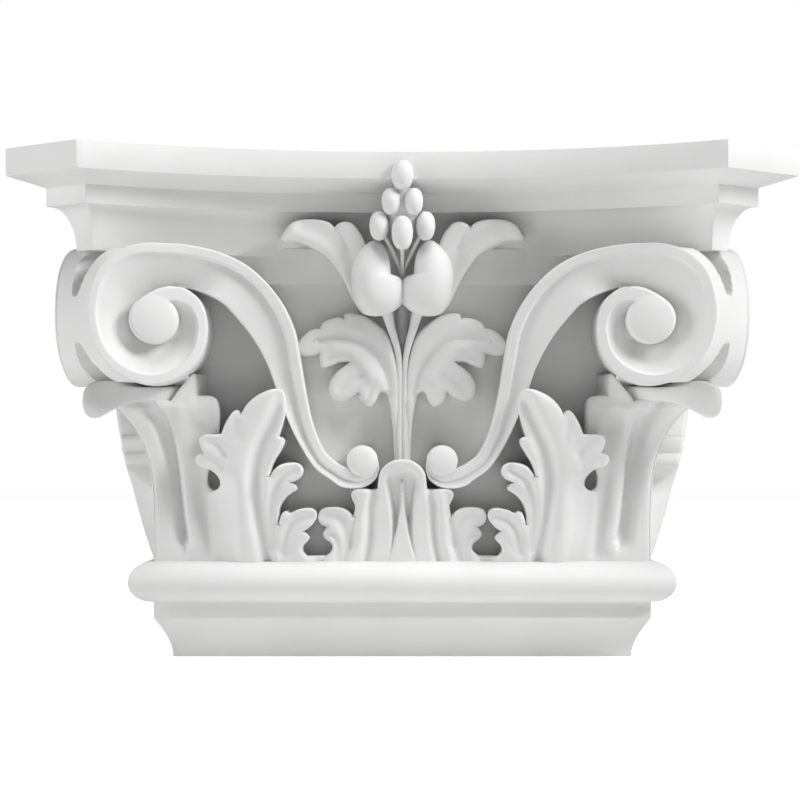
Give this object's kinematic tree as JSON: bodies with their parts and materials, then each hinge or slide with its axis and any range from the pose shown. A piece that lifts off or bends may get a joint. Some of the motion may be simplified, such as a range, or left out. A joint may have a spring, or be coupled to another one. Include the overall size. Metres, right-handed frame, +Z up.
{
  "type": "pilaster capital",
  "caption": "White moulded pilaster capital with a concave abacus, corner volutes, acanthus leaves, a central flower spray, a bead and a coved neck.",
  "frame": {"origin": "centre of the flat underside of the neck, where the capital sits on the pilaster's shaft", "axes": "+X to the right seen from the front, +Y back into the wall, so the front faces -Y, +Z up"},
  "size_m": [0.366, 0.12, 0.237],
  "materials": {
    "white_primer": "satin white primer on moulded high-density polyurethane"
  },
  "bodies": {
    "root": {"capital": "white_primer"}
  },
  "joints": []
}
